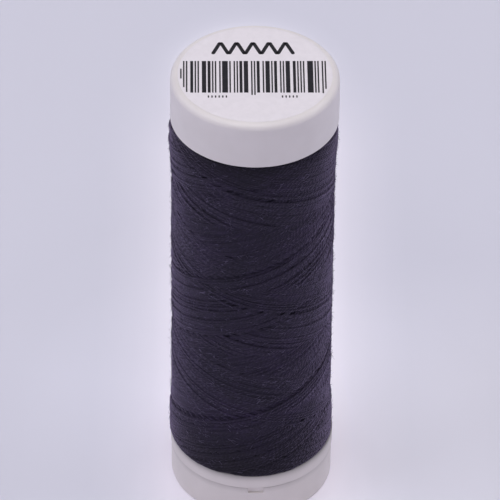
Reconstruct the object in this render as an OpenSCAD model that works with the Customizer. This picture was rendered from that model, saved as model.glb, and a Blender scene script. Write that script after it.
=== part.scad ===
// Spool of sewing thread. A moulded core with two flanges carries a cross-wound package of
// thread. A cap with a round paper label is pressed over the upper flange, and a base that
// pulls out a little below the lower flange clamps the thread's free end.
// Millimetres. +Z runs up the spool's axis from the middle of its underside, and -Y is the
// front, where the base has its thread notch.

/* [Spool] */
// Diameter of the cap, the lower flange and the base
spool_d = 20; // [19:0.5:24]
// Height of the wound package, from flange to cap
package_h = 48.2; // [40:0.1:60]
// Thickness of the lower flange
flange_t = 2.0; // [1.4:0.1:3]
// Outer diameter of the barrel under the thread
barrel_d = 15.5; // [15:0.1:16]
// Wall of the barrel
barrel_wall = 1.0; // [0.8:0.1:1.2]

/* [Spool pin] */
// Radius of the hole for a sewing machine's spool pin
pin_r = 3.5; // [3:0.1:3.6]
// Length of the lower hub's bore
lower_hub_h = 8.0; // [6:0.5:12]
// Wall of both hubs
hub_wall = 1.2; // [0.8:0.1:1.3]

/* [Cap and label] */
// Height of the cap's skirt
cap_h = 6.2; // [5:0.1:8]
// Rounding of the cap's upper edge
cap_round = 0.8; // [0.3:0.1:1.2]
// Thickness of the cap's top
cap_top_t = 1.4; // [1:0.1:2]
// Thickness of the core's upper flange, inside the cap
upper_flange_t = 1.4; // [1:0.1:2]
// How far the cap's plug reaches down inside the barrel
plug_h = 3.6; // [2:0.1:6]
// Diameter of the paper label
label_d = 18.2; // [15:0.1:18.4]
// Thickness of the paper label
label_t = 0.1; // [0.05:0.01:0.2]

/* [Thread] */
// Diameter over the wound package, at its middle
package_d = 19.5; // [19:0.1:19.5]
// How far the package swells near the lower flange
low_swell = 0.25; // [0:0.05:0.25]
// How far the package swells under the cap
high_swell = 0.15; // [0:0.05:0.25]
// Width of the flat strand that forms the outer turns
strand_w = 1.3; // [0.5:0.1:1.3]
// Thickness of the strand
strand_t = 0.4; // [0.3:0.1:0.5]
// Turns in the outer layer
outer_turns = 24; // [12:1:24]

/* [Base] */
// Height of the pull-out base
base_h = 4.6; // [4:0.1:6]
// How far the base stands back from the flange's edge
base_set_back = 0.1; // [0:0.05:0.2]
// How far the base pulls out to open the thread lock
base_travel = 1.5; // [0.5:0.1:1.7]
// Width of the thread notch in the base's upper edge
notch_w = 1.9; // [1:0.1:3]
// Height of the thread notch
notch_h = 0.8; // [0.3:0.1:0.9]
// How deep the thread notch goes into the base's wall
notch_depth = 0.3; // [0.2:0.1:1.2]
// How far the thread notch sits to the right of the front's middle
notch_x = 0.6; // [-2:0.1:2]

/* [Hidden] */

ROUND_FN = 96;
CAP_ARC_STEPS = 6;
BASE_ARC_STEPS = 3;
// Air between pieces that touch, and the bite of ribs and rings into their walls
TOUCH_GAP = 0.02;
BITE = 0.3;

// Heights up the axis
flange_z = base_h;
package_z = flange_z + flange_t;
cap_z = package_z + package_h;
cap_top_z = cap_z + cap_h;

// Radii
spool_r = spool_d / 2;
base_r = spool_r - base_set_back;
barrel_r = barrel_d / 2;
barrel_bore_r = barrel_r - barrel_wall;
hub_r = pin_r + hub_wall;
skirt_wall = 1.4;
upper_flange_r = spool_r - skirt_wall;

// Inside the core
web_t = 1.4;
rib_t = 0.9;
RIBS = 4;
hub_top_z = flange_z + lower_hub_h;
core_rib_top_z = hub_top_z - 0.8;

// Inside the cap
fit_gap = 0.05;
plug_wall = 1.0;
plug_r = barrel_bore_r - fit_gap;
cap_inner_z = cap_top_z - cap_top_t;
upper_hub_z = cap_z - 4.7;
cap_rib_z = cap_z - 1.5;

// The base's snap: a bead round the core's spigot under a lip inside the base
edge_bevel = 0.2;
flange_bevel = 0.1;
seam_bevel = 0.05;
seam_gap = 0.05;
spigot_r = spool_r - 1.8;
spigot_wall = 1.2;
spigot_foot_z = 1.3;
bead_r = spigot_r + 0.2;
bead_z = spigot_foot_z + 0.2;
bead_h = 0.5;
lip_r = spigot_r + fit_gap;
recess_r = bead_r + 0.1;
lip_z = bead_z + bead_h + base_travel + 0.1;
base_floor_t = 1.0;
base_hole_r = 5.6;
base_round = 0.2;

// How far the package stands over its usual radius, by height over the lower flange
edge_dip = 0.1;
swell_by_height = [
    [0, 0.2 * low_swell],
    [0.8, 0.6 * low_swell],
    [3.2, low_swell],
    [7.5, 0],
    [package_h - 5, 0],
    [package_h - 1.2, high_swell],
    [package_h, -edge_dip]
];

// The outer turns: one helix of straight chords, laid down the package on the inner layers
RINGS_PER_TURN = 24;
STRAND_SIDES = 6;
BEND_STEPS = 5;
BEND_SPAN = 0.4;
ring_angle = 360 / RINGS_PER_TURN;
lay_rings = outer_turns * RINGS_PER_TURN;
lay_start_angle = 82.5;
corner_room = 0.75;
lay_margin = strand_w + corner_room;
lay_low_z = package_z + lay_margin;
lay_high_z = cap_z - lay_margin;
ring_rise = (lay_high_z - lay_low_z) / lay_rings;

// ---- Shared shapes ----

// A solid of revolution between two heights, with a hole if inner_r is over zero
module ring(outer_r, inner_r, low_z, high_z) {
    translate([0, 0, low_z])
        difference() {
            cylinder(r = outer_r, h = high_z - low_z, $fn = ROUND_FN);
            if (inner_r > 0)
                translate([0, 0, -1])
                    cylinder(r = inner_r, h = high_z - low_z + 2, $fn = ROUND_FN);
        }
}

// Straight ribs between two radii, evenly round the axis
module ribs(inner_r, outer_r, low_z, high_z) {
    for (i = [0 : RIBS - 1])
        rotate([0, 0, (i + 0.5) * 360 / RIBS])
            translate([inner_r, -rib_t / 2, low_z])
                cube([outer_r - inner_r, rib_t, high_z - low_z]);
}

// Points of an arc about a centre, from one angle to another
function arc(centre, r, from, to, steps) =
    [for (i = [0 : steps]) let (a = from + (to - from) * i / steps)
        centre + r * [cos(a), sin(a)]];

// ---- Core ----

module lower_flange_profile() {
    polygon([
        [pin_r + BITE, flange_z],
        [spool_r - seam_bevel, flange_z],
        [spool_r, flange_z + seam_bevel],
        [spool_r, package_z - flange_bevel],
        [spool_r - flange_bevel, package_z],
        [pin_r + BITE, package_z]
    ]);
}

module spigot_profile() {
    inner_r = spigot_r - spigot_wall;
    polygon([
        [inner_r, spigot_foot_z],
        [spigot_r - edge_bevel, spigot_foot_z],
        [spigot_r, bead_z],
        [bead_r, bead_z + bead_h / 2],
        [bead_r, bead_z + bead_h],
        [spigot_r, bead_z + bead_h],
        [spigot_r, flange_z + web_t / 2],
        [inner_r, flange_z + web_t / 2]
    ]);
}

module spool_core() {
    color("white") {
        difference() {
            union() {
                rotate_extrude($fn = ROUND_FN) lower_flange_profile();
                rotate_extrude($fn = ROUND_FN) spigot_profile();
                ring(barrel_r, barrel_bore_r, flange_z, cap_z + upper_flange_t);
                ring(upper_flange_r, barrel_bore_r, cap_z, cap_z + upper_flange_t);
                ring(hub_r, 0, flange_z, hub_top_z);
                ribs(hub_r - BITE, barrel_bore_r + BITE, flange_z + web_t / 2, core_rib_top_z);
            }
            // The flange is a web inside the barrel, thinner than it is outside
            ring_cut(barrel_bore_r, hub_r, flange_z + web_t, package_z + 1);
            translate([0, 0, flange_z - 1])
                cylinder(r = pin_r, h = lower_hub_h + 2, $fn = ROUND_FN);
        }
    }
}

// An annular cut that leaves the ribs standing
module ring_cut(outer_r, inner_r, low_z, high_z) {
    difference() {
        ring(outer_r, inner_r, low_z, high_z);
        ribs(inner_r - BITE, outer_r + BITE, low_z - 1, high_z + 1);
    }
}

// ---- Cap and label ----

module cap_shell_profile() {
    corner = [spool_r - cap_round, cap_top_z - cap_round];
    polygon(concat(
        [[upper_flange_r + TOUCH_GAP, cap_z], [spool_r - edge_bevel, cap_z], [spool_r, cap_z + edge_bevel]],
        arc(corner, cap_round, 0, 90, CAP_ARC_STEPS),
        [[0, cap_top_z], [0, cap_inner_z], [upper_flange_r + TOUCH_GAP, cap_inner_z]]
    ));
}

module top_cap() {
    color("whitesmoke") {
        rotate_extrude($fn = ROUND_FN) cap_shell_profile();
        ring(plug_r, plug_r - plug_wall, cap_z - plug_h, cap_inner_z + web_t / 2);
        ring(hub_r, pin_r, upper_hub_z, cap_inner_z);
        ribs(hub_r - BITE, plug_r - plug_wall + BITE, cap_rib_z, cap_inner_z + web_t / 2);
    }
}

module face_label() {
    color("ghostwhite")
        ring(label_d / 2, 0, cap_top_z, cap_top_z + label_t);
}

// ---- Thread ----

// Radius of the strand's middle line at a height
function lay_r(z) = (package_d - strand_t) / 2 + lookup(z - package_z, swell_by_height);

// Radius of the inner layers at a height, clear of the strand's chords
function inner_layers_r(z) = lay_r(z) * cos(ring_angle / 2) - strand_t / 2 - TOUCH_GAP;

module thread_core() {
    low_z = package_z + TOUCH_GAP;
    high_z = cap_z - TOUCH_GAP;
    heights = [for (entry = swell_by_height) min(max(package_z + entry[0], low_z), high_z)];
    color("midnightblue")
        rotate_extrude($fn = ROUND_FN)
            polygon(concat(
                [[barrel_r + TOUCH_GAP, high_z], [barrel_r + TOUCH_GAP, low_z]],
                [for (z = heights) [inner_layers_r(z), z]]
            ));
}

// A place in the lay: how many rings round it, how high, and at which radius
function in_lay(rings, z, r) =
    let (a = lay_start_angle + rings * ring_angle)
    [r * cos(a), r * sin(a), z];

function on_package(rings, z) = in_lay(rings, z, lay_r(z));

function bezier(a, b, c, t) = (1 - t) * (1 - t) * a + 2 * t * (1 - t) * b + t * t * c;

// An end of the strand: square to the face it meets and straight for one width, then bent
// round a corner into the lay. away is +1 or -1, the way from the face into the package.
function end_points(ring_at, face_z, away) =
    let (corner = [ring_at, face_z + away * lay_margin],
         straight = [ring_at, face_z + away * strand_w],
         joined = corner + away * BEND_SPAN * [1, ring_rise])
    concat(
        [in_lay(ring_at, face_z, lay_r(straight[1]))],
        [for (k = [0 : BEND_STEPS])
            let (p = bezier(straight, corner, joined, k / BEND_STEPS))
            on_package(p[0], p[1])]
    );

function reversed(list) = [for (i = [len(list) - 1 : -1 : 0]) list[i]];

strand_path = concat(
    end_points(0, package_z, 1),
    [for (i = [1 : lay_rings - 1]) on_package(i, lay_low_z + i * ring_rise)],
    reversed(end_points(lay_rings, cap_z, -1))
);

function unit(v) = v / norm(v);

// Six corners round one point of the path, with a flat side facing away from the axis
function strand_ring(path, i) =
    let (before = path[max(i - 1, 0)],
         after = path[min(i + 1, len(path) - 1)],
         along = unit(after - before),
         out = unit([path[i][0], path[i][1], 0]),
         side = unit(out - (out * along) * along),
         up = cross(along, side))
    [for (k = [0 : STRAND_SIDES - 1]) let (a = (k + 0.5) * 360 / STRAND_SIDES)
        path[i] + strand_t / 2 * cos(a) / cos(180 / STRAND_SIDES) * side + strand_w / 2 * sin(a) * up];

// One closed tube along a path, its faces all triangles
module strand(path) {
    count = len(path);
    n = STRAND_SIDES;
    points = [for (i = [0 : count - 1]) each strand_ring(path, i)];
    walls = [for (i = [0 : count - 2]) for (k = [0 : n - 1])
        let (a = i * n + k, b = i * n + (k + 1) % n)
        each [[a, a + n, b + n], [a, b + n, b]]];
    first_lid = [for (k = [1 : n - 2]) [0, k, k + 1]];
    last = (count - 1) * n;
    last_lid = [for (k = [1 : n - 2]) [last, last + k + 1, last + k]];
    polyhedron(points = points, faces = concat(walls, first_lid, last_lid));
}

// Least distance between points of the path at least a quarter turn apart, taken at every
// ring and halfway between rings
function least_distance(path) =
    let (dense = [for (i = [0 : len(path) - 2]) each [path[i], (path[i] + path[i + 1]) / 2]],
         apart = RINGS_PER_TURN / 2)
    min([for (i = [0 : len(dense) - 1 - apart])
        min([for (j = [i + apart : len(dense) - 1]) norm(dense[i] - dense[j])])]);

module outer_winding() {
    echo(turns = outer_turns, least_gap_mm = least_distance(strand_path) - strand_w);
    color("darkslateblue") strand(strand_path);
}

// ---- Base ----

module base_profile() {
    top_z = base_h - seam_gap;
    corner = [base_r - base_round, base_round];
    polygon(concat(
        [[base_hole_r, 0]],
        arc(corner, base_round, -90, 0, BASE_ARC_STEPS),
        [[base_r, top_z - seam_bevel],
         [base_r - seam_bevel, top_z],
         [lip_r + edge_bevel, top_z],
         [lip_r, top_z - edge_bevel],
         [lip_r, lip_z],
         [recess_r, lip_z],
         [recess_r, base_floor_t],
         [base_hole_r, base_floor_t]]
    ));
}

module base_cap() {
    color("white")
        difference() {
            rotate_extrude($fn = ROUND_FN) base_profile();
            // Shallow notch in the front of the upper edge
            translate([notch_x - notch_w / 2, -base_r - 1, base_h - seam_gap - notch_h])
                cube([notch_w, notch_depth + 1, notch_h + 1]);
        }
}

spool_core();
thread_core();
outer_winding();
top_cap();
face_label();
base_cap();
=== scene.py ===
"""The looks of a spool of sewing thread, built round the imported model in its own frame.

Lengths are millimetres until a mesh is made, and meshes are in metres. The thread is laid by a
small simulation of a winder: it runs up and down the spool while the spool turns, and rests on
whatever was laid before it.
"""
import math

import bpy
import numpy as np
from mathutils import Matrix, Vector


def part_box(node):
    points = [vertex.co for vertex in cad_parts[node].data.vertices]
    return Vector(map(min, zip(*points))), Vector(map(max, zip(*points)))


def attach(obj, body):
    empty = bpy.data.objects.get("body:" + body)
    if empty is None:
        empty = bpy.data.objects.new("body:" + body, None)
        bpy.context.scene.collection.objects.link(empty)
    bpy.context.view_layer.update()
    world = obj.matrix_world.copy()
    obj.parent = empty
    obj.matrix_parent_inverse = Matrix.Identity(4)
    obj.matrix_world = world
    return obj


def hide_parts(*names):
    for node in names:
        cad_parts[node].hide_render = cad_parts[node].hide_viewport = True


MM = 0.001
SEED = 7

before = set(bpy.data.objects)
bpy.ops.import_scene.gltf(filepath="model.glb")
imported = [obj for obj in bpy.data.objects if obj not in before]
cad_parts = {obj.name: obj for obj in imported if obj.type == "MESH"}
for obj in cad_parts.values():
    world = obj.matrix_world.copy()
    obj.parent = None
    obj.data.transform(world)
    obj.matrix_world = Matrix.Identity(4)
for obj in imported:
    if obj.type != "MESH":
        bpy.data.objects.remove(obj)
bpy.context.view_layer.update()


def box_mm(node):
    """Lowest and highest corner of a CAD node, in millimetres."""
    low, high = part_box(node)
    return np.array(low) / MM, np.array(high) / MM


# ---- Sizes read from the frame ----

WIND_LOW, WIND_HIGH = box_mm("outer_winding")
LABEL_LOW, LABEL_HIGH = box_mm("face_label")
PACKAGE_Z = WIND_LOW[2]
CAP_Z = WIND_HIGH[2]
CAP_TOP_Z = box_mm("top_cap")[1][2]
LABEL_R = LABEL_HIGH[0]
# The core's barrel is hidden in its node's box, so its radius is repeated here.
BARREL_R = 7.75

# ---- Camera: the photograph's long view from above the front ----

CAMERA_AIM_Z = CAP_TOP_Z - 28.47
CAMERA_DISTANCE = 631.0
CAMERA_ELEVATION = 0.69053
CAMERA_PITCH = 0.68839
CAMERA_YAW = -0.00082
CAMERA_ROLL = 0.00976
CLIP_START, CLIP_END = 0.01, 20
FOCAL_PX = 5221.5
PHOTO_PX = 500
SENSOR_MM = 36.0


def make_camera():
    """The camera, placed and turned as the photograph's was."""
    data = bpy.data.cameras.new("camera")
    data.sensor_width = SENSOR_MM
    data.lens = FOCAL_PX / PHOTO_PX * SENSOR_MM
    data.clip_start, data.clip_end = CLIP_START, CLIP_END
    camera = bpy.data.objects.new("camera", data)
    bpy.context.scene.collection.objects.link(camera)
    bpy.context.scene.camera = camera
    aim = Vector((0, 0, CAMERA_AIM_Z))
    back = Vector((0, -math.cos(CAMERA_ELEVATION), math.sin(CAMERA_ELEVATION)))
    forward = Vector((
        math.sin(CAMERA_YAW) * math.cos(CAMERA_PITCH),
        math.cos(CAMERA_YAW) * math.cos(CAMERA_PITCH),
        -math.sin(CAMERA_PITCH),
    ))
    right = Vector((math.cos(CAMERA_YAW), -math.sin(CAMERA_YAW), 0))
    up = right.cross(forward)
    rolled_right = math.cos(CAMERA_ROLL) * right + math.sin(CAMERA_ROLL) * up
    rolled_up = math.cos(CAMERA_ROLL) * up - math.sin(CAMERA_ROLL) * right
    turn = Matrix((rolled_right, rolled_up, -forward)).transposed()
    place = (aim + CAMERA_DISTANCE * back) * MM
    camera.matrix_world = Matrix.Translation(place) @ turn.to_4x4()


# ---- Light ----

# Name, place and size in metres, power in watts and colour of each round soft lamp.
LAMPS = (
    ("key", (-0.1, -0.4, 1.6), 1.8, 17.1, (1.0, 1.0, 1.0)),
    ("left", (-1.6, 0.1, 1.1), 2.4, 20.0, (0.97, 0.985, 1.06)),
    ("right", (1.5, 0.5, 1.05), 2.1, 17.0, (0.98, 0.99, 1.04)),
)
LAMP_AIM = (0, 0, 0.03)
WORLD_COLOUR, WORLD_STRENGTH = (1.0, 0.985, 0.995, 1), 0.085


def add_lamp(name, place, size, watts, colour):
    """A round soft lamp that points at the spool."""
    data = bpy.data.lights.new(name, "AREA")
    data.shape, data.size, data.energy, data.color = "DISK", size, watts, colour
    lamp = bpy.data.objects.new(name, data)
    lamp.location = place
    aim = Vector(LAMP_AIM) - Vector(place)
    lamp.rotation_euler = aim.to_track_quat("-Z", "Y").to_euler()
    bpy.context.scene.collection.objects.link(lamp)


def make_light():
    """The lamps and a dim, nearly white world."""
    bpy.context.scene.view_settings.view_transform = "Standard"
    for lamp in LAMPS:
        add_lamp(*lamp)
    world = bpy.data.worlds.new("world")
    world.use_nodes = True
    background = world.node_tree.nodes["Background"]
    background.inputs["Color"].default_value = WORLD_COLOUR
    background.inputs["Strength"].default_value = WORLD_STRENGTH
    bpy.context.scene.world = world


# ---- Mesh helpers ----

SHARP_ANGLE = math.radians(35)


def fill_mesh(data, points, faces):
    """Fills a mesh from an array of faces with equal corners, which is quick for many faces."""
    count, corners = faces.shape
    starts = np.arange(0, count * corners, corners, dtype=np.int32)
    data.vertices.add(len(points))
    data.vertices.foreach_set("co", points.ravel())
    data.loops.add(count * corners)
    data.loops.foreach_set("vertex_index", faces.ravel().astype(np.int32))
    data.polygons.add(count)
    data.polygons.foreach_set("loop_start", starts)
    data.update(calc_edges=True)
    data.validate()


def mesh_object(name, points, faces, material, smooth=True):
    """An object from points in millimetres and faces, as one array or as a list."""
    data = bpy.data.meshes.new(name)
    points = np.asarray(points, float) * MM
    if isinstance(faces, np.ndarray):
        fill_mesh(data, points, faces)
    else:
        data.from_pydata([tuple(p) for p in points], [], faces)
    data.polygons.foreach_set("use_smooth", [smooth] * len(data.polygons))
    data.update()
    made = bpy.data.objects.new(name, data)
    bpy.context.scene.collection.objects.link(made)
    data.materials.append(material)
    return made


def lathe(name, outline, material, steps=192):
    """A closed solid of revolution. outline is a loop of (radius, height), anticlockwise."""
    angles = np.arange(steps) * 2 * math.pi / steps
    points, rings, faces = [], [], []
    for r, z in outline:
        first = len(points)
        if r == 0:
            points.append((0, 0, z))
            rings.append([first] * steps)
        else:
            points += [(r * math.cos(a), r * math.sin(a), z) for a in angles]
            rings.append(list(range(first, first + steps)))
    for low, high in zip(rings, rings[1:] + rings[:1]):
        for i in range(steps):
            j = (i + 1) % steps
            corners = list(dict.fromkeys([low[i], low[j], high[j], high[i]]))
            if len(corners) > 2:
                faces.append(corners)
    made = mesh_object(name, points, faces, material)
    made.data.set_sharp_from_angle(angle=SHARP_ANGLE)
    return made


def unit(vectors):
    """Vectors of length 1 in the same directions."""
    return vectors / np.linalg.norm(vectors, axis=-1, keepdims=True)


# ---- Shader helpers ----

# A size that takes an axis out of a scaled distance.
ENDLESS = 1e6
WHITE = (1, 1, 1)


def srgb(*values):
    """Linear colour from 0 to 255 screen values."""
    shares = [v / 255 for v in values]
    return tuple(s / 12.92 if s <= 0.04045 else ((s + 0.055) / 1.055) ** 2.4 for s in shares)


def shades(colour, *shares):
    """Darker and lighter versions of a colour."""
    return [tuple(min(share * c, 1) for c in colour) for share in shares]


def new_material(name, colour, roughness):
    """A material with one Principled shader, and its tree and shader."""
    material = bpy.data.materials.new(name)
    material.use_nodes = True
    shader = material.node_tree.nodes["Principled BSDF"]
    shader.inputs["Base Color"].default_value = (*colour, 1)
    shader.inputs["Roughness"].default_value = roughness
    return material, material.node_tree, shader


def object_place(tree):
    """Place on the object, in metres."""
    return tree.nodes.new("ShaderNodeTexCoord").outputs["Object"]


def noise(tree, scale, detail=3.0, vector=None):
    """Cloudy noise, over the object or along a given vector."""
    node = tree.nodes.new("ShaderNodeTexNoise")
    node.inputs["Scale"].default_value = scale
    node.inputs["Detail"].default_value = detail
    tree.links.new(object_place(tree) if vector is None else vector, node.inputs["Vector"])
    return node.outputs["Fac"]


def ramp(tree, value, stops):
    """A colour ramp. stops are (place, colour)."""
    node = tree.nodes.new("ShaderNodeValToRGB")
    elements = node.color_ramp.elements
    while len(elements) < len(stops):
        elements.new(0.5)
    for element, (place, colour) in zip(elements, stops):
        element.position = place
        element.color = (*colour, 1)
    tree.links.new(value, node.inputs["Fac"])
    return node.outputs["Color"]


def map_range(tree, value, from_low, from_high, to_low, to_high):
    """A value moved from one range to another, and held within it."""
    node = tree.nodes.new("ShaderNodeMapRange")
    node.inputs["From Min"].default_value = from_low
    node.inputs["From Max"].default_value = from_high
    node.inputs["To Min"].default_value = to_low
    node.inputs["To Max"].default_value = to_high
    tree.links.new(value, node.inputs["Value"])
    return node.outputs["Result"]


def math_node(tree, operation, first, second=None):
    """One step of arithmetic on sockets or numbers."""
    node = tree.nodes.new("ShaderNodeMath")
    node.operation = operation
    for socket, value in zip(node.inputs, (first, second)):
        if value is None:
            continue
        if isinstance(value, (int, float)):
            socket.default_value = value
        else:
            tree.links.new(value, socket)
    return node.outputs[0]


def vector_math(tree, operation, first, second=None):
    """One step of arithmetic on a vector socket and a fixed vector."""
    node = tree.nodes.new("ShaderNodeVectorMath")
    node.operation = operation
    tree.links.new(first, node.inputs[0])
    if second is not None:
        node.inputs[1].default_value = second
    return node.outputs["Value" if operation == "LENGTH" else "Vector"]


def vector_of(tree, x):
    """A vector along X, for noise that depends on one number."""
    node = tree.nodes.new("ShaderNodeCombineXYZ")
    tree.links.new(x, node.inputs["X"])
    return node.outputs["Vector"]


def split_vector(tree, vector):
    """The X, Y and Z of a vector."""
    node = tree.nodes.new("ShaderNodeSeparateXYZ")
    tree.links.new(vector, node.inputs["Vector"])
    return node.outputs


def times(tree, first, second):
    """Two colours multiplied."""
    node = tree.nodes.new("ShaderNodeMix")
    node.data_type = "RGBA"
    node.blend_type = "MULTIPLY"
    node.inputs["Factor"].default_value = 1.0
    tree.links.new(first, node.inputs["A"])
    tree.links.new(second, node.inputs["B"])
    return node.outputs["Result"]


def white_to(tree, level):
    """A mix from white at level 0 to whatever its socket B gets at 1."""
    node = tree.nodes.new("ShaderNodeMix")
    node.data_type = "RGBA"
    node.inputs["A"].default_value = (*WHITE, 1)
    tree.links.new(level, node.inputs["Factor"])
    return node


def tint_by(tree, level, tint):
    """White where the level is 0 and the tint where it is 1."""
    node = white_to(tree, level)
    node.inputs["B"].default_value = (*tint, 1)
    return node.outputs["Result"]


def scaled_distance(tree, middle, size):
    """Distance from a middle, in millimetres, measured in units of a size along each axis."""
    offset = vector_math(tree, "SUBTRACT", object_place(tree), tuple(m * MM for m in middle))
    squeezed = vector_math(tree, "MULTIPLY", offset, tuple(1 / (s * MM) for s in size))
    return vector_math(tree, "LENGTH", squeezed)


def fade(tree, middle, size, stops):
    """A grey that follows the distance from a middle. stops are (distance in sizes, level)."""
    greys = [(place, (level,) * 3) for place, level in stops]
    return ramp(tree, scaled_distance(tree, middle, size), greys)


def shade_by_height(tree, stops):
    """A tint that follows the height. stops are (height in mm, grey level or colour)."""
    low, high = stops[0][0], stops[-1][0]
    z = split_vector(tree, object_place(tree))["Z"]
    height = map_range(tree, z, low * MM, high * MM, 0, 1)
    colours = [(z, level if isinstance(level, tuple) else (level,) * 3) for z, level in stops]
    return ramp(tree, height, [((z - low) / (high - low), colour) for z, colour in colours])


def shade_inside(tree, reach, edge, stops):
    """White outside a radius from the axis, and shaded by height inside it."""
    from_axis = scaled_distance(tree, (0, 0, 0), (1, 1, ENDLESS))
    node = white_to(tree, map_range(tree, from_axis, reach, reach + edge, 1, 0))
    tree.links.new(shade_by_height(tree, stops), node.inputs["B"])
    return node.outputs["Result"]


def add_bump(tree, shader, height, strength, distance):
    """Bump from a height. distance is in metres."""
    node = tree.nodes.new("ShaderNodeBump")
    node.inputs["Strength"].default_value = strength
    node.inputs["Distance"].default_value = distance
    tree.links.new(height, node.inputs["Height"])
    tree.links.new(node.outputs["Normal"], shader.inputs["Normal"])


# ---- Plastic, paper and ink ----

# Each noise is a scale, per metre, and a detail.
CAP_WHITE = srgb(222, 215, 216)
# The core and base take a darker copy of the cap's white: painted shade, low down near the floor.
LOWER_WHITE_SHADED = srgb(209, 202, 201)
PLASTIC_ROUGHNESS = 0.38
MOTTLE_NOISE, MOTTLE_DARK = (260, 4), 0.955
MOTTLE_FROM, MOTTLE_TO = 0.35, 0.65
GLOSS_NOISE = (900, 2)
# From where to where that noise runs, and the roughness at both ends.
GLOSS_RANGE = (0.3, 0.7, 0.33, 0.45)
PEEL_NOISE, PEEL_STRENGTH, PEEL_DEPTH = (2600, 3), 0.12, 0.00002
SUBSURFACE_WEIGHT, SUBSURFACE_RADIUS = 0.08, (0.001, 0.001, 0.001)
# Painted shade: the thread's shadow on the flange, darker towards where the thread meets it, and the
# flange's shadow on the base just below the seam.
THREAD_SHADOW_ON_FLANGE = ((5.3, 1.0), (5.65, 0.95), (6.0, 0.82), (6.35, 0.58), (6.6, 0.36))
FLANGE_SHADOW_ON_BASE = ((3.7, 1.0), (4.0, 0.93), (4.3, 0.86), (4.6, 0.84))
# Painted light: the faces inside the base's outer radius, in and behind its notch, are paler,
# against the shade that falls there.
# The radius, how soft the change is, and the levels by height.
NOTCH_PAINTED_LIGHT = (9.84, 0.03, ((3.74, 1.0), (3.78, 1.34), (4.6, 1.17)))

PAPER_COLOUR, PAPER_ROUGHNESS = srgb(226, 219, 225), 0.62
PAPER_NOISE, PAPER_DARK = (1400, 6), 0.965
PAPER_FROM, PAPER_TO = 0.38, 0.62
GRAIN_NOISE, GRAIN_STRENGTH, GRAIN_DEPTH = (5200, 5), 0.1, 0.00001
INK_COLOUR, INK_ROUGHNESS = srgb(24, 21, 28), 0.5
INK_DARK, INK_PALE = srgb(19, 17, 23), srgb(34, 31, 39)
INK_NOISE, INK_FROM, INK_TO = (3000, 3), 0.4, 0.75


def plastic_material(name, colour, shading=None, inside=None):
    """Moulded white polypropylene: faint mottling, fine orange peel and a satin surface."""
    material, tree, shader = new_material(name, colour, PLASTIC_ROUGHNESS)
    darker = tuple(c * MOTTLE_DARK for c in colour)
    mottle = noise(tree, *MOTTLE_NOISE)
    mottled = ramp(tree, mottle, [(MOTTLE_FROM, darker), (MOTTLE_TO, colour)])
    # Painted shade by height is multiplied into the colour here.
    if shading:
        mottled = times(tree, mottled, shade_by_height(tree, shading))
    # Painted light inside a radius is multiplied into the colour here.
    if inside:
        mottled = times(tree, mottled, shade_inside(tree, *inside))
    tree.links.new(mottled, shader.inputs["Base Color"])
    gloss = map_range(tree, noise(tree, *GLOSS_NOISE), *GLOSS_RANGE)
    tree.links.new(gloss, shader.inputs["Roughness"])
    add_bump(tree, shader, noise(tree, *PEEL_NOISE), PEEL_STRENGTH, PEEL_DEPTH)
    shader.inputs["Subsurface Weight"].default_value = SUBSURFACE_WEIGHT
    shader.inputs["Subsurface Radius"].default_value = SUBSURFACE_RADIUS
    return material


def paper_material():
    """Coated label paper: fine fibres and a dull surface."""
    material, tree, shader = new_material("label_paper", PAPER_COLOUR, PAPER_ROUGHNESS)
    darker = tuple(c * PAPER_DARK for c in PAPER_COLOUR)
    fibres = noise(tree, *PAPER_NOISE)
    colour = ramp(tree, fibres, [(PAPER_FROM, darker), (PAPER_TO, PAPER_COLOUR)])
    tree.links.new(colour, shader.inputs["Base Color"])
    add_bump(tree, shader, noise(tree, *GRAIN_NOISE), GRAIN_STRENGTH, GRAIN_DEPTH)
    return material


def ink_material():
    """Black ink, a little uneven in its depth."""
    material, tree, shader = new_material("label_ink", INK_COLOUR, INK_ROUGHNESS)
    depth = noise(tree, *INK_NOISE)
    colour = ramp(tree, depth, [(INK_FROM, INK_DARK), (INK_TO, INK_PALE)])
    tree.links.new(colour, shader.inputs["Base Color"])
    return material


# ---- Thread and its fibres ----

THREAD_COLOUR = srgb(30, 24, 42)
THREAD_ROUGHNESS, THREAD_SPECULAR = 0.75, 0.25
SHEEN_COLOUR, SHEEN_WEIGHT, SHEEN_ROUGHNESS = srgb(172, 154, 196), 0.85, 0.36
PLIES = 2
# Painted shade in the grooves between the plies and painted light on their backs, as shares of the
# thread's colour.
PLY_SHADE_SHARES = (0.86, 1.0, 1.14)
PLY_STRENGTH, PLY_DEPTH = 0.6, 0.00005
# How quickly the twist tightens and loosens along the thread, and by how many turns it drifts.
TWIST_NOISE, TWIST_DRIFT = (0.3, 2), 3.0
# Dye that takes unevenly along the thread, and patches over the whole package.
DYE_NOISE = (0.5, 3)
DYE_STOPS = ((0.32, (0.72, 0.72, 0.74)), (0.5, WHITE), (0.68, (1.5, 1.46, 1.5)))
BATCH_NOISE = (130.0, 2)
BATCH_STOPS = ((0.35, (0.84, 0.88, 0.86)), (0.5, WHITE), (0.65, (1.2, 1.12, 1.2)))
# Painted shade: the thread is darker towards the foot of the package, and a painted shadow of the
# cap darkens it just under the cap.
THREAD_SHADE_BY_HEIGHT = (
    (6.6, (0.08, 0.0, 0.18)),
    (9.0, (0.12, 0.03, 0.26)),
    (12.0, (0.42, 0.34, 0.55)),
    (16.0, (0.88, 0.84, 0.94)),
    (20.0, 1.0),
    (51.0, 1.0),
    (53.0, 0.8),
    (54.8, 0.5),
)
FUZZ_ROUGHNESS = 0.6
FUZZ_DARK, FUZZ_PALE = srgb(50, 43, 65), srgb(118, 108, 141)
FUZZ_NOISE, FUZZ_FROM, FUZZ_TO = (900, 2), 0.36, 0.65


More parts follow.
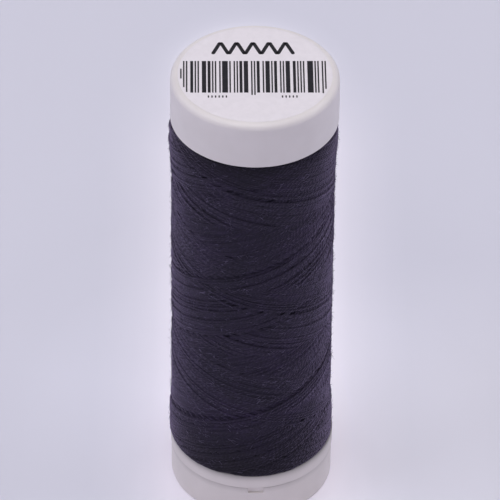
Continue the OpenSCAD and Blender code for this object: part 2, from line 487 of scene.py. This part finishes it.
def strand_uv(tree):
    """Place along the strand in twists, and round it from 0 to 1."""
    uv = tree.nodes.new("ShaderNodeUVMap")
    uv.uv_map = "Strand"
    parts = split_vector(tree, uv.outputs["UV"])
    return parts["X"], parts["Y"]


def ply_height(tree, along, around):
    """From 0 in the grooves between the plies to 1 on their backs."""
    drift = noise(tree, *TWIST_NOISE, vector_of(tree, along))
    drift = math_node(tree, "MULTIPLY", drift, TWIST_DRIFT)
    turned = math_node(tree, "ADD", math_node(tree, "ADD", along, around), drift)
    twist = math_node(tree, "MULTIPLY", turned, 2 * math.pi * PLIES)
    return map_range(tree, math_node(tree, "SINE", twist), -1, 1, 0, 1)


def thread_material():
    """Spun polyester in dark violet: ply grooves round the strand, uneven dye and a soft sheen."""
    material, tree, shader = new_material("thread_fibre", THREAD_COLOUR, THREAD_ROUGHNESS)
    along, around = strand_uv(tree)
    ply = ply_height(tree, along, around)
    # The plies are painted darker in their grooves and paler on their backs, as shade and light.
    dark, plain, pale = shades(THREAD_COLOUR, *PLY_SHADE_SHARES)
    plies = ramp(tree, ply, [(0.0, dark), (0.5, plain), (1.0, pale)])
    dyed_and_shaded = ramp(tree, noise(tree, *DYE_NOISE, vector_of(tree, along)), DYE_STOPS)
    # Painted shade by height is multiplied into the dye here.
    dyed_and_shaded = times(tree, dyed_and_shaded, shade_by_height(tree, THREAD_SHADE_BY_HEIGHT))
    tinted = ramp(tree, noise(tree, *BATCH_NOISE), BATCH_STOPS)
    colour = times(tree, times(tree, plies, dyed_and_shaded), tinted)
    tree.links.new(colour, shader.inputs["Base Color"])
    add_bump(tree, shader, ply, PLY_STRENGTH, PLY_DEPTH)
    shader.inputs["Specular IOR Level"].default_value = THREAD_SPECULAR
    shader.inputs["Sheen Weight"].default_value = SHEEN_WEIGHT
    shader.inputs["Sheen Roughness"].default_value = SHEEN_ROUGHNESS
    shader.inputs["Sheen Tint"].default_value = (*SHEEN_COLOUR, 1)
    return material


def fuzz_material():
    """Loose fibres, paler than the thread because light comes through them."""
    material, tree, shader = new_material("thread_fuzz", THREAD_COLOUR, FUZZ_ROUGHNESS)
    colour = ramp(tree, noise(tree, *FUZZ_NOISE), [(FUZZ_FROM, FUZZ_DARK), (FUZZ_TO, FUZZ_PALE)])
    tree.links.new(colour, shader.inputs["Base Color"])
    return material


# ---- The package's form ----

PACKAGE_R = 9.72
PACKAGE_SHIFT = (-0.12, -0.12, 0.0)
# The package is fuller near both ends: how much, how far from that end, and how wide.
FOOT_SWELL = (0.25, 3.2, 2.4)
TOP_SWELL = (0.3, 2.6, 3.0)
# It is drawn in at the very ends: how much, and over what height.
FOOT_DRAWN_IN = (0.08, 0.4)
TOP_DRAWN_IN = (0.3, 2.0)
# A pair of the winder's legs takes this many turns of the spool, and the leg up this share.
PAIR_TURNS, UP_SHARE = 5, 0.44
UP_RISE = (CAP_Z - PACKAGE_Z) / (UP_SHARE * PAIR_TURNS)
# Gaps between the bands of the layers below: where they start, in turns, and how deep they are.
GROOVES = ((0.29, 0.28), (0.70, 0.15))
GROOVE_WIDE = 0.28
# Waves that cross: how often each goes round, its phase per mm of height, and its start.
WIDE_WAVES = ((13, 0.9, 0), (7, -1.2, 1))
NARROW_WAVES = ((23, -1.9, 0), (17, 2.3, 2))
UNEVEN, NARROW_SHARE = 0.026, 0.6


def package_profile(z):
    """Radius over the thread at a height: fuller near both ends, and drawn in at them."""
    above, below_cap = z - PACKAGE_Z, CAP_Z - z
    size, middle, wide = FOOT_SWELL
    radius = PACKAGE_R + size * np.exp(-((np.maximum(above, middle) - middle) / wide) ** 2)
    size, middle, wide = TOP_SWELL
    radius = radius + size * np.exp(-((below_cap - middle) / wide) ** 2)
    depth, reach = FOOT_DRAWN_IN
    radius = radius - depth * np.clip(1 - above / reach, 0, 1) ** 2
    depth, reach = TOP_DRAWN_IN
    return radius - depth * np.clip(1 - below_cap / reach, 0, 1) ** 2


def groove_sag(turn, z):
    """How far the lines sag into the gaps between the bands below, which run as the up legs do."""
    sag = 0
    for phase, depth in GROOVES:
        off = (turn - phase - (z - PACKAGE_Z) / UP_RISE + 0.5) % 1 - 0.5
        sag = sag + depth * np.exp(-((off * UP_RISE / GROOVE_WIDE) ** 2))
    return sag


def crossed_waves(angle, height, waves, size=1):
    """Hills and hollows where trains of waves cross."""
    product = size
    for times_round, per_mm, start in waves:
        product = product * np.sin(times_round * angle + per_mm * height + start)
    return product


def unevenness(turn, z):
    """Soft hills and hollows, a few millimetres across, where the thread lies looser or tighter."""
    angle = 2 * math.pi * turn
    narrow = crossed_waves(angle, z, NARROW_WAVES)
    return UNEVEN * (crossed_waves(angle, z, WIDE_WAVES) + NARROW_SHARE * narrow)


# ---- The winder ----

COLUMNS = 240
LINE_SPACING = 0.245
# Where each band of lines starts and ends round the package, in turns.
BANDS = ((0.70, 1.275), (0.685, 0.305))
TURN_ROUNDING = 0.06
EDGE_GAP = 0.13
END_SHAPE, END_SCATTER = 1.2, 0.12
# Slow waves in the guide's height: how many turns long, and how high.
GUIDE_WAVES = ((3.1, 0.018), (1.3, 0.011), (0.45, 0.007))
# A few legs stray: the share of them, how far, and the start and length in shares of the leg.
STRAY_SHARE, STRAY_SIZE = 0.04, (0.4, 1.2)
STRAY_START, STRAY_LENGTH = (0.1, 0.5), (0.25, 0.5)


def leg_times():
    """When each leg of the winder starts, in turns.

    A pair of legs, up and down, ends beside where it started, so the lines of each direction grow
    side by side into a band. The bands are laid one after another and leave grooves between them.
    """
    line = LINE_SPACING / UP_RISE
    phases = [np.linspace(first, last, round(abs(last - first) / line)) for first, last in BANDS]
    phases = np.concatenate(phases)
    pair_turns = PAIR_TURNS + (np.diff(phases) + 0.5) % 1 - 0.5
    ends = [pair_turns.sum() + PAIR_TURNS]
    starts = np.concatenate([[0], np.cumsum(pair_turns), ends]) + phases[0]
    tops = starts[:-1] + UP_SHARE * np.diff(starts)
    return np.sort(np.concatenate([starts, tops]))


def leg_rise(along, leg_turns):
    """How far through its leg's height the guide is, from 0 to 1, with rounded turns at the ends."""
    to_end = np.minimum(along, leg_turns - along)
    rounded = (to_end**2 + TURN_ROUNDING**2) / (2 * TURN_ROUNDING)
    rise = np.where(to_end < TURN_ROUNDING, rounded, to_end) - TURN_ROUNDING / 2
    whole = leg_turns - TURN_ROUNDING
    return np.where(along < leg_turns / 2, rise, whole - rise) / whole


def stray_height(share, leg, legs, rng):
    """How far the thread strays in the few legs that do, at a share of each leg."""
    size = rng.uniform(*STRAY_SIZE, legs) * rng.choice([-1, 1], legs)
    size = size * (rng.random(legs) < STRAY_SHARE)
    start, length = rng.uniform(*STRAY_START, legs), rng.uniform(*STRAY_LENGTH, legs)
    within = np.clip((share - start[leg]) / length[leg], 0, 1)
    return size[leg] * np.sin(math.pi * within) ** 2


def winder_heights(rng):
    """Height of the thread guide at every step, up and down, with a real winder's small errors."""
    starts = leg_times()
    legs = len(starts) - 1
    turn = np.arange(int(starts[0] * COLUMNS) + 1, int(starts[-1] * COLUMNS)) / COLUMNS
    leg = np.searchsorted(starts, turn, side="right") - 1
    leg_turns = (starts[1:] - starts[:-1])[leg]
    along = turn - starts[leg]
    going_up = leg % 2 == 0
    rise = leg_rise(along, leg_turns)
    ends = EDGE_GAP + rng.gamma(END_SHAPE, END_SCATTER / END_SHAPE, legs + 1)
    low = PACKAGE_Z + np.where(going_up, ends[leg], ends[leg + 1])
    high = CAP_Z - np.where(going_up, ends[leg + 1], ends[leg])
    z = low + (high - low) * np.where(going_up, rise, 1 - rise)
    middle = np.sin(math.pi * along / leg_turns)
    for turns_long, size in GUIDE_WAVES:
        phase = rng.uniform(0, 2 * math.pi, legs)
        z = z + middle * size * np.sin(2 * math.pi * turn / turns_long + phase[leg])
    return turn, z + stray_height(along / leg_turns, leg, legs, rng), leg


# ---- The laid thread ----

THREAD_R, THREAD_FLAT_R = 0.165, 0.055
# The surface laid so far is kept in rows this high, and a line stacks on it this thick.
ROW = 0.04
STACK_R = 0.035
# Steps either way over which a line bridges what it crosses, and is then smoothed twice.
BRIDGE, SMOOTHINGS = 2, (4, 3)
# Lines stand out from or sink below the level round them, which is taken this far up and down
# and this far along.
LEVEL_WIDE, LEVEL_LONG = 0.3, 1.3
MOST_PROUD, MOST_SUNK = 0.04, 0.09
# Near the foot they are pressed flat: by what share, and over what height.
PRESSED_SHARE, PRESSED_HEIGHT = 0.7, 12


def running(values, reach, pick, mode="edge"):
    """Each value with its neighbours within reach along the first axis, combined by pick."""
    pad = [(reach, reach)] + [(0, 0)] * (values.ndim - 1)
    padded = np.pad(values, pad, mode=mode)
    return pick(np.array([padded[k : k + len(values)] for k in range(2 * reach + 1)]), axis=0)


def row_of(z):
    """Row of the surface at a height."""
    return np.rint((z - PACKAGE_Z) / ROW).astype(int)


def stack_legs(z, leg, column):
    """How high each step lies on what was laid before it, and the surface that all of them make."""
    rows = int((CAP_Z - PACKAGE_Z) / ROW) + 1
    row_z = PACKAGE_Z + ROW * np.arange(rows)
    surface = np.zeros((rows, COLUMNS))
    reach = int(THREAD_R / ROW)
    offsets = np.arange(-reach, reach + 1)
    height = np.empty(len(z))
    for number in range(leg.max() + 1):
        here = np.nonzero(leg == number)[0]
        near = np.clip(row_of(z[here])[:, None] + offsets, 0, rows - 1)
        across = (row_z[near] - z[here][:, None]) / THREAD_R
        crown = STACK_R * np.sqrt(np.maximum(1 - across**2, 0))
        support = (surface[near, column[here][:, None]] + crown).max(axis=1)
        support = running(support, BRIDGE, np.max)
        for smoothing in SMOOTHINGS:
            support = running(support, smoothing, np.mean)
        height[here] = support
        np.maximum.at(surface, (near, column[here][:, None]), support[:, None] + crown)
    return height, surface


def lay_thread(rng):
    """Angle, height and radius of the thread's middle at every step of the winder."""
    turn, z, leg = winder_heights(rng)
    column = np.rint(turn * COLUMNS).astype(int) % COLUMNS
    height, surface = stack_legs(z, leg, column)
    columns_long = round(LEVEL_LONG / (2 * math.pi * PACKAGE_R / COLUMNS))
    level = running(surface, int(LEVEL_WIDE / ROW), np.mean)
    level = running(level.T, columns_long, np.mean, "wrap").T
    row = np.clip(row_of(z), 0, len(surface) - 1)
    proud = height - level[row, column]
    pressed = 1 - PRESSED_SHARE * np.exp(-(((z - PACKAGE_Z) / PRESSED_HEIGHT) ** 2))
    most = np.where(proud > 0, MOST_PROUD, MOST_SUNK) * pressed
    radius = package_profile(z) + most * np.tanh(proud / most)
    return 2 * math.pi * turn, z, radius - groove_sag(turn, z) + unevenness(turn, z)


# ---- Strands ----

STEPS_PER_RING = 4
RING_MM = 2 * math.pi * PACKAGE_R * STEPS_PER_RING / COLUMNS
MOST_RINGS_IN_A_PIECE = 15500
STRAND_SIDES = 6
STRAND_ANGLES = np.arange(STRAND_SIDES) * 2 * math.pi / STRAND_SIDES
# Two faces close the six sides at each end, in turn at the first ring and the last.
LIDS = np.array([[3, 2, 1, 0], [0, 1, 2, 3], [0, 5, 4, 3], [3, 4, 5, 0]])
# Length of one turn of the plies, and how far the shading leans to the package's own surface.
PLY_LENGTH = 1.1
FIBRE_SOFTNESS = 0.9
# The second UV map lays the strand out in rows in a square. A row is this high, in mm.
BAKE_ROW = 0.85
# Its rows are a little longer than they have to be, and the square has a border round them.
BAKE_SPARE, BAKE_BORDER, BAKE_SHIFT = 1.01, 1.02, 0.004
# A row starts with a gap and is filled up to the next one, in shares of its height.
ROW_GAP, ROW_FILL = 0.06, 0.88


def strand_axes(path):
    """Unit vectors outwards and across the strand, at each point of its path."""
    ahead, behind = np.roll(path, -1, axis=0), np.roll(path, 1, axis=0)
    ahead[-1], behind[0] = path[-1], path[0]
    along = unit(ahead - behind)
    out = path * (1, 1, 0)
    out = unit(out - (out * along).sum(axis=1, keepdims=True) * along)
    return out, np.cross(along, out)


def strand_corners(count):
    """Ring and place round it of each face's corners: the walls between rings, then the lids."""
    i, k = np.meshgrid(np.arange(count - 1), np.arange(STRAND_SIDES), indexing="ij")
    i, k = i.ravel(), k.ravel()
    lid_rings = np.array([0, count - 1, 0, count - 1])
    walls = np.stack([i, i, i + 1, i + 1], -1)
    rings = np.vstack([walls, np.repeat(lid_rings[:, None], 4, axis=1)])
    places = np.vstack([np.stack([k, k + 1, k + 1, k], -1), LIDS])
    return rings, places


def strand_normals(path, out, side):
    """Normals between the flat strand's own and the package's, as soft fibres shade."""
    cosine, sine = np.cos(STRAND_ANGLES)[None, :, None], np.sin(STRAND_ANGLES)[None, :, None]
    facing = unit(cosine * out[:, None] / THREAD_FLAT_R + sine * side[:, None] / THREAD_R)
    return unit(facing + FIBRE_SOFTNESS * unit(path * (1, 1, 0))[:, None])


def add_uv(made, name, u, v):
    """A UV map from the place of every face corner."""
    layer = made.data.uv_layers.new(name=name)
    layer.data.foreach_set("uv", np.stack([u, v], -1).ravel())


def strand_mesh(name, path, first, material):
    """A flat tube along the path, with its ends closed and two UV maps: twist and bake rows."""
    out, side = strand_axes(path)
    ring = THREAD_FLAT_R * np.cos(STRAND_ANGLES)[None, :, None] * out[:, None]
    ring = ring + THREAD_R * np.sin(STRAND_ANGLES)[None, :, None] * side[:, None]
    points = (path[:, None] + ring).reshape(-1, 3)
    rings, places = strand_corners(len(path))
    faces = rings * STRAND_SIDES + places % STRAND_SIDES
    made = mesh_object(name, points, faces, material)
    normals = strand_normals(path, out, side)
    made.data.normals_split_custom_set_from_vertices(normals.reshape(-1, 3))
    steps = np.linalg.norm(np.diff(path, axis=0), axis=1)
    length = np.concatenate([[0], np.cumsum(steps)])
    u, v = length[rings], places / STRAND_SIDES
    add_uv(made, "Strand", (first + u) / PLY_LENGTH, v)
    row_mm = math.sqrt(length[-1] * BAKE_ROW) * BAKE_SPARE
    square_mm = row_mm * BAKE_BORDER
    row = np.floor(u[:, :1] / row_mm)
    bake_v = (row + ROW_GAP + v * ROW_FILL) * BAKE_ROW / square_mm
    add_uv(made, "OFBake", (u - row * row_mm) / square_mm + BAKE_SHIFT, bake_v)
    return made


def shift_package(made):
    """Sets a piece of the package a little off the axis, as the thread was wound."""
    made.location = Vector(PACKAGE_SHIFT) * MM


def make_thread(material):
    """The laid thread, cut into lengths that each make one piece."""
    rng = np.random.default_rng(SEED)
    angle, z, radius = (a[::STEPS_PER_RING] for a in lay_thread(rng))
    path = np.stack([radius * np.cos(angle), radius * np.sin(angle), z], -1)
    pieces = math.ceil(len(path) / MOST_RINGS_IN_A_PIECE)
    cuts = np.linspace(0, len(path) - 1, pieces + 1).astype(int)
    for number in range(pieces):
        part = path[cuts[number] : cuts[number + 1] + 1]
        name = f"thread_length_{number + 1}"
        strand = strand_mesh(name, part, cuts[number] * RING_MM, material)
        shift_package(strand)
        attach(strand, "spool")
        if number == pieces - 1:
            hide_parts("outer_winding")
    return path


# ---- Fibres that stand off the thread ----

FIBRES = 9900
FIBRE_STEPS, FIBRE_SIDES = 3, 3
FIBRE_R, TIP_SHARE = 0.019, 0.45
FIBRE_LENGTH = (0.25, 0.9)
# They grow from strands that lie no deeper than this, and start this share of the strand's
# half thickness out from its middle.
ROOT_DEPTH, ROOT_SHARE = 0.1, 0.6
# How they leave the strand: spread of the swing and the curl, and shape and scale of the lift.
SWING, CURL = 0.4, 0.12
LIFT_SHAPE, LIFT_SCALE = 1.6, 0.12
SETTLE = 0.25
# They stay this far over the package, and this far from its ends.
LEAST_LIFT, MOST_LIFT = 0.02, 0.5
END_ROOM = 0.05
# Painted light: more pale fibres grow at the sides, where the package's edges catch light, most on
# the left, which is lit, and nowhere fewer than this share.
SIDE_LIGHT_FIBRES, LEFT_LIGHT_FIBRES, LEAST_FIBRE_SHARE = 0.65, 0.2, 0.1
PATCHINESS = 0.95
PATCH_WAVES = ((11, 1.1, 0), (7, -1.5, 1))
# Painted shade: fewer fibres grow at the foot and just under the cap: by what share, and over what
# height.
FOOT_SHADE_THINNING = (0.8, 9)
CAP_SHADOW_THINNING = (0.85, 3)


def thinned_near_end(distance, share, height):
    """The share of fibres left at a distance from an end of the package."""
    return 1 - share * np.exp(-((distance / height) ** 2))


def fuzz_density(points):
    """How many pale fibres grow at a place: painted light puts most on the sides and the left,
    patches vary it, and painted shade leaves few at foot and top.
    """
    angle = np.arctan2(points[:, 1], points[:, 0])
    above, below_cap = points[:, 2] - PACKAGE_Z, CAP_Z - points[:, 2]
    sides = 1 + SIDE_LIGHT_FIBRES * np.cos(2 * angle) - LEFT_LIGHT_FIBRES * np.cos(angle)
    patches = 1 + crossed_waves(angle, above, PATCH_WAVES, PATCHINESS)
    ends = thinned_near_end(above, *FOOT_SHADE_THINNING) * thinned_near_end(below_cap, *CAP_SHADOW_THINNING)
    return np.maximum(sides, LEAST_FIBRE_SHARE) * patches * ends


def fibre_roots(path, rng):
    """Rings of the outer strands that fibres grow from."""
    depth = package_profile(path[:, 2]) - np.hypot(path[:, 0], path[:, 1])
    outer = np.nonzero(depth < ROOT_DEPTH)[0]
    outer = outer[(outer > 0) & (outer < len(path) - 1)]
    density = fuzz_density(path[outer])
    return rng.choice(outer, FIBRES, p=density / density.sum())


def held_near(place):
    """Points moved in or out to stay close over the package and between its ends."""
    radial = unit(place * (1, 1, 0))
    least = package_profile(place[:, 2])[:, None] + LEAST_LIFT
    r = np.linalg.norm(place[:, :2], axis=1, keepdims=True)
    place = place + (np.clip(r, least, least + MOST_LIFT) - r) * radial
    place[:, 2] = np.clip(place[:, 2], PACKAGE_Z + END_ROOM, CAP_Z - END_ROOM)
    return place, radial


def fibre_paths(path, rng):
    """Loose fibres that leave the outer strands at a low angle and curl back towards them."""
    root = fibre_roots(path, rng)
    out = unit(path[root] * (1, 1, 0))
    along = unit(path[root + 1] - path[root - 1]) * rng.choice([-1, 1], FIBRES)[:, None]
    side = np.cross(along, out)
    swing = rng.normal(0, SWING, FIBRES)[:, None]
    lift = rng.gamma(LIFT_SHAPE, LIFT_SCALE, FIBRES)[:, None]
    heading = unit(np.cos(swing) * along + np.sin(swing) * side + lift * out)
    curl = rng.normal(0, CURL, (FIBRES, 3))
    step = rng.uniform(*FIBRE_LENGTH, FIBRES)[:, None] / FIBRE_STEPS
    points = [path[root] + ROOT_SHARE * THREAD_FLAT_R * out]
    for _ in range(FIBRE_STEPS):
        place, radial = held_near(points[-1] + step * heading)
        points.append(place)
        heading = unit(heading + curl - SETTLE * lift * radial)
    return np.stack(points, 1)


def fibre_faces(rings):
    """Triangles of every fibre: two for each side between its rings, and one at each end."""
    fibre, i, k = np.meshgrid(
        np.arange(FIBRES), np.arange(rings - 1), np.arange(FIBRE_SIDES), indexing="ij"
    )
    fibre, i, k = fibre.ravel(), i.ravel(), k.ravel()
    low, turned = (fibre * rings + i) * FIBRE_SIDES, (k + 1) % FIBRE_SIDES
    high = low + FIBRE_SIDES
    first_half = np.stack([low + k, low + turned, high + turned], -1)
    second_half = np.stack([low + k, high + turned, high + k], -1)
    roots = np.arange(FIBRES)[:, None] * rings * FIBRE_SIDES
    tips = roots + (rings - 1) * FIBRE_SIDES
    return np.vstack([first_half, second_half, roots + [2, 1, 0], tips + [0, 1, 2]])


def make_fuzz(path, material):
    """One mesh of three-sided fibres that taper to their ends."""
    rng = np.random.default_rng(SEED + 1)
    fibres = fibre_paths(path, rng)
    rings = FIBRE_STEPS + 1
    along = unit(np.gradient(fibres, axis=1))
    side = unit(np.cross(along, rng.normal(0, 1, (FIBRES, 1, 3))))
    up = np.cross(along, side)
    angles = np.arange(FIBRE_SIDES) * 2 * math.pi / FIBRE_SIDES
    size = FIBRE_R * np.linspace(1, TIP_SHARE, rings)[None, :, None, None]
    ring = np.cos(angles)[None, None, :, None] * side[:, :, None]
    ring = ring + np.sin(angles)[None, None, :, None] * up[:, :, None]
    points = (fibres[:, :, None] + size * ring).reshape(-1, 3)
    fuzz = mesh_object("thread_fuzz", points, fibre_faces(rings), material)
    shift_package(fuzz)
    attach(fuzz, "spool")


# ---- The inner layers ----

BED_DEPTH = 0.22
BED_RINGS = 60
BED_END_GAP, BED_BARREL_GAP = 0.03, 0.2


def make_thread_bed(material):
    """The inner layers, which close the package behind the outer strands."""
    z = np.linspace(PACKAGE_Z + BED_END_GAP, CAP_Z - BED_END_GAP, BED_RINGS)
    outside = list(zip(package_profile(z) - BED_DEPTH, z))
    bore_r = BARREL_R + BED_BARREL_GAP
    bed = lathe("thread_inner_layers", outside + [(bore_r, z[-1]), (bore_r, z[0])], material)
    shift_package(bed)
    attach(bed, "spool")
    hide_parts("thread_core")


# ---- Label ----

# The disc's upright edge, how far in its pressed slope reaches, and a ring just within that.
LABEL_EDGE_T, LABEL_SLOPE, LABEL_RING = 0.02, 0.3, 0.4
INK_T = 0.012
INK_Z = LABEL_HIGH[2]
INK_MARGIN = 0.25
PRINT_TURN = math.radians(1.0)
PRINT_AXES = np.array([
    [math.cos(PRINT_TURN), math.sin(PRINT_TURN)],
    [-math.sin(PRINT_TURN), math.cos(PRINT_TURN)],
])
STRIPES_LEFT, STRIPES_RIGHT = -8.8, 8.35
STRIPES_LOW, STRIPES_TOP, GUARD_LOW = -3.65, 2.42, -4.1
STRIPE_UNITS = 101
STITCHES = 10
STITCH_LEFT, STITCH_WIDE, STITCH_INSET = -5.0, 0.96, 0.1
STITCH_LOW, STITCH_TOP, STITCH_THICK = 3.95, 5.85, 0.46
# Left end and number of ticks of each group.
TICK_GROUPS = ((-5.5, 6), (3.15, 5))
TICKS_Y, TICK_PITCH, TICK_REACH, TICK_THICK = -4.4, 0.42, 0.15, 0.16
STITCH_END_STEPS, TICK_END_STEPS = 6, 4


def prism(points, faces, outline):
    """Adds ink over a convex outline to lists of points and faces."""
    first, n = len(points), len(outline)
    flat = np.asarray(outline) @ PRINT_AXES
    points += [(x, y, INK_Z) for x, y in flat] + [(x, y, INK_Z + INK_T) for x, y in flat]
    faces.append([first + k for k in reversed(range(n))])
    faces.append([first + n + k for k in range(n)])
    for k in range(n):
        after = (k + 1) % n
        faces.append([first + k, first + after, first + n + after, first + n + k])


def stripe_outline(x0, x1, y0, y1):
    """An upright stripe, kept inside the label's edge."""
    room = math.sqrt(max((LABEL_R - INK_MARGIN) ** 2 - max(abs(x0), abs(x1)) ** 2, 0))
    low, top = max(y0, -room), min(y1, room)
    return [(x0, low), (x1, low), (x1, top), (x0, top)]


def stitch_outline(x0, y0, x1, y1, thick, steps):
    """A straight stitch between two points, with round ends."""
    lean = math.atan2(y1 - y0, x1 - x0)
    ends = [(x1, y1, lean - math.pi / 2), (x0, y0, lean + math.pi / 2)]
    return [
        (x + thick / 2 * math.cos(start + a), y + thick / 2 * math.sin(start + a))
        for x, y, start in ends
        for a in np.linspace(0, math.pi, steps)
    ]


def stripe_spans():
    """Left edge and width of each stripe, in units, and whether it is a long one.

    The widths and gaps follow a plain formula and mean nothing.
    """
    spans, place, number = [], 0, 0
    while place < STRIPE_UNITS:
        in_middle = abs(place - STRIPE_UNITS / 2) < 2
        guard = number in (0, 1) or in_middle or place > STRIPE_UNITS - 4
        width = 1 if guard else 1 + 2 * (number * 7 % 5 == 2) + (number * 3 % 4 == 1)
        spans.append((place, min(width, STRIPE_UNITS - place), guard))
        place += width + 1 + (number * 5 % 7 in (3, 4)) * (not guard)
        number += 1
    return spans


def print_stripes(points, faces):
    """A block of upright stripes of several widths, with a few long ones."""
    unit_mm = (STRIPES_RIGHT - STRIPES_LEFT) / STRIPE_UNITS
    for place, width, guard in stripe_spans():
        x0 = STRIPES_LEFT + place * unit_mm
        low = GUARD_LOW if guard else STRIPES_LOW
        prism(points, faces, stripe_outline(x0, x0 + width * unit_mm, low, STRIPES_TOP))


def print_stitches(points, faces):
    """A zigzag line of sewing stitches."""
    for k in range(STITCHES):
        x0 = STITCH_LEFT + k * STITCH_WIDE + STITCH_INSET
        x1 = STITCH_LEFT + (k + 1) * STITCH_WIDE - STITCH_INSET
        y0, y1 = (STITCH_LOW, STITCH_TOP) if k % 2 == 0 else (STITCH_TOP, STITCH_LOW)
        prism(points, faces, stitch_outline(x0, y0, x1, y1, STITCH_THICK, STITCH_END_STEPS))


def print_ticks(points, faces):
    """Groups of small ticks under the stripes."""
    low, top = TICKS_Y - TICK_REACH, TICKS_Y + TICK_REACH
    for left, count in TICK_GROUPS:
        for x in left + TICK_PITCH * np.arange(count):
            prism(points, faces, stitch_outline(x, low, x, top, TICK_THICK, TICK_END_STEPS))


def make_label(paper, ink):
    """The round label and its print: plain stripes, a zigzag line and small ticks."""
    low, high = LABEL_LOW[2], LABEL_HIGH[2]
    outline = [
        (0, low),
        (LABEL_R, low),
        (LABEL_R, low + LABEL_EDGE_T),
        (LABEL_R - LABEL_SLOPE, high),
        (LABEL_R - LABEL_RING, high),
        (0, high),
    ]
    label = lathe("label_disc", outline, paper)
    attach(label, "spool")
    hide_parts("face_label")
    points, faces = [], []
    print_stripes(points, faces)
    print_stitches(points, faces)
    print_ticks(points, faces)
    label_print = mesh_object("label_print", points, faces, ink, smooth=False)
    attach(label_print, "spool")


# ---- Stage ----

# The floor is a disc that bends up into a low round wall. Its sizes are in metres.
FLOOR_R, FLOOR_BEND, WALL_HEIGHT = 1.2, 0.4, 0.7
BEND_STEPS, FLOOR_STEPS, FLOOR_T = 12, 128, 0.01
FLOOR_COLOUR, FLOOR_ROUGHNESS = srgb(207, 205, 218), 0.9
# Painted light makes the floor paler round the spool, against the spool's shadow: shares of its
# colour by distance, within the far radius.
FAR_R = 120.0
POOL_MIDDLE, POOL_SIZE = (0, -8, 0), (FAR_R, FAR_R / 0.7, FAR_R)
FLOOR_LIGHT_SHARES = (
    (8, 1.08),
    (10.5, 1.13),
    (14, 1.21),
    (18, 1.21),
    (23, 1.16),
    (29, 1.11),
    (35, 1.05),
    (42, 1.02),
)
# A long patch of painted light, a halo, reaches back behind the spool.
GLOW_TINT = (1.29, 1.25, 1.22)
GLOW_WIDE, GLOW_BACK, GLOW_LONG = 20.0, 22.0, 68.0
GLOW_ACROSS = ((0.5, 1.0), (0.56, 0.8), (0.64, 0.5), (0.76, 0.25), (0.9, 0.08), (1.0, 0.0))
GLOW_ALONG = ((0.6, 1.0), (0.74, 0.55), (0.86, 0.1), (0.95, 0.0))
# A painted ring of light lies on the floor where the cap is seen against it.
CAP_GLOW_TINT = (1.13, 1.125, 1.11)
CAP_GLOW_MIDDLE, CAP_GLOW_SIZE = (-0.6, 80.2, 0), (14.6, 14.6, 100)
CAP_GLOW_STOPS = ((0.7, 1.0), (0.775, 0.5), (0.85, 0.25), (0.94, 0.08), (1.0, 0.0))
# Painted light lifts the floor at the right, where the spool's soft shadow falls.
LIFT_TINT = (1.1, 1.095, 1.075)
LIFT_MIDDLE, LIFT_SIZE = (34, 3, 0), (46, 40, 100)
LIFT_STOPS = ((0.0, 1.0), (0.35, 1.0), (0.65, 0.45), (0.95, 0.0))


def floor_material():
    """Plain lavender paper with painted light: paler round the spool against its shadow, with a
    painted halo behind it.
    """
    material, tree, shader = new_material("floor", FLOOR_COLOUR, FLOOR_ROUGHNESS)
    shader.inputs["Specular IOR Level"].default_value = 0.0
    near = scaled_distance(tree, POOL_MIDDLE, POOL_SIZE)
    pool_stops = [
        (reach / FAR_R, tuple(share * c for c in FLOOR_COLOUR)) for reach, share in FLOOR_LIGHT_SHARES
    ]
    pool = ramp(tree, near, pool_stops)
    across = fade(tree, (0, 0, 0), (GLOW_WIDE, ENDLESS, ENDLESS), GLOW_ACROSS)
    along = fade(tree, (0, GLOW_BACK, 0), (ENDLESS, GLOW_LONG, ENDLESS), GLOW_ALONG)
    lit = times(tree, pool, tint_by(tree, times(tree, across, along), GLOW_TINT))
    lift = fade(tree, LIFT_MIDDLE, LIFT_SIZE, LIFT_STOPS)
    lit = times(tree, lit, tint_by(tree, lift, LIFT_TINT))
    behind_cap = fade(tree, CAP_GLOW_MIDDLE, CAP_GLOW_SIZE, CAP_GLOW_STOPS)
    lit = times(tree, lit, tint_by(tree, behind_cap, CAP_GLOW_TINT))
    tree.links.new(lit, shader.inputs["Base Color"])
    return material


def make_stage():
    """The floor with its low wall, as one closed body."""
    wall_r = FLOOR_R + FLOOR_BEND
    bend = [
        (FLOOR_R + FLOOR_BEND * math.sin(a), FLOOR_BEND * (1 - math.cos(a)))
        for a in np.linspace(0, math.pi / 2, BEND_STEPS)
    ]
    inner = [(0, 0), *bend, (wall_r, WALL_HEIGHT)]
    outer = [(wall_r + FLOOR_T, WALL_HEIGHT), (wall_r + FLOOR_T, -FLOOR_T), (0, -FLOOR_T)]
    outline = np.array((inner + outer)[::-1]) / MM
    lathe("stage_floor", outline, floor_material(), FLOOR_STEPS)


# ---- Build ----


def dress_node(node, material):
    """Gives a CAD node its material."""
    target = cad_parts[node]
    if not target.material_slots:
        target.data.materials.append(material)
    for used in target.material_slots:
        used.material = material


make_camera()
make_light()
make_stage()

dress_node("top_cap", plastic_material("cap_white", CAP_WHITE))
# The core and base carry painted shade by height, and the base painted light inside its notch.
dress_node("spool_core", plastic_material("core_white", LOWER_WHITE_SHADED, THREAD_SHADOW_ON_FLANGE))
dress_node("base_cap", plastic_material("base_white", LOWER_WHITE_SHADED, FLANGE_SHADOW_ON_BASE, NOTCH_PAINTED_LIGHT))

thread = thread_material()
make_thread_bed(thread)
make_fuzz(make_thread(thread), fuzz_material())
make_label(paper_material(), ink_material())
